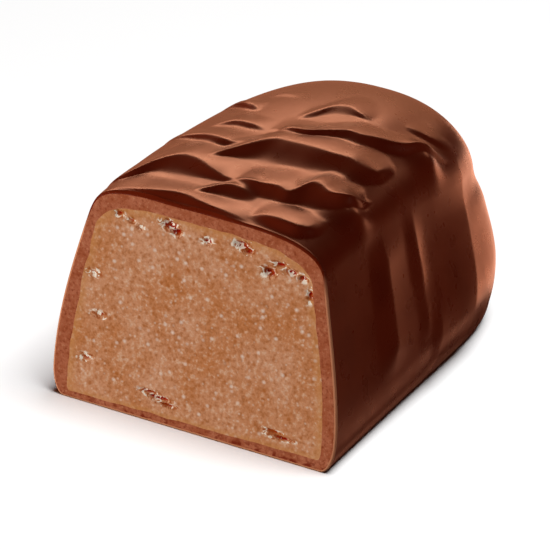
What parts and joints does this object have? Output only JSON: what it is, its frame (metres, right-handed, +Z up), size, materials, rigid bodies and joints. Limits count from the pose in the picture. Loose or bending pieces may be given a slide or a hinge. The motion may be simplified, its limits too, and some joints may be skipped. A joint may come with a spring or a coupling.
{
  "type": "glazed milk candy",
  "caption": "Loaf-shaped candy cut across: a shell of milk chocolate glaze, rippled on top, round a soft milk filling that shows on the cut face.",
  "frame": {"origin": "middle of the bounding box's bottom, on the surface the candy stands on", "axes": "+Z up, +Y along the candy from the cut face to the rounded end, +X to the right as seen facing the cut"},
  "size_m": [0.0216, 0.029, 0.0168],
  "materials": {
    "milk_chocolate": "glossy poured milk chocolate, satin on the cut edge",
    "milk_filling": "matte, fine-grained soft milk filling"
  },
  "bodies": {
    "root": {"glaze": "milk_chocolate", "filling": "milk_filling"}
  },
  "joints": []
}
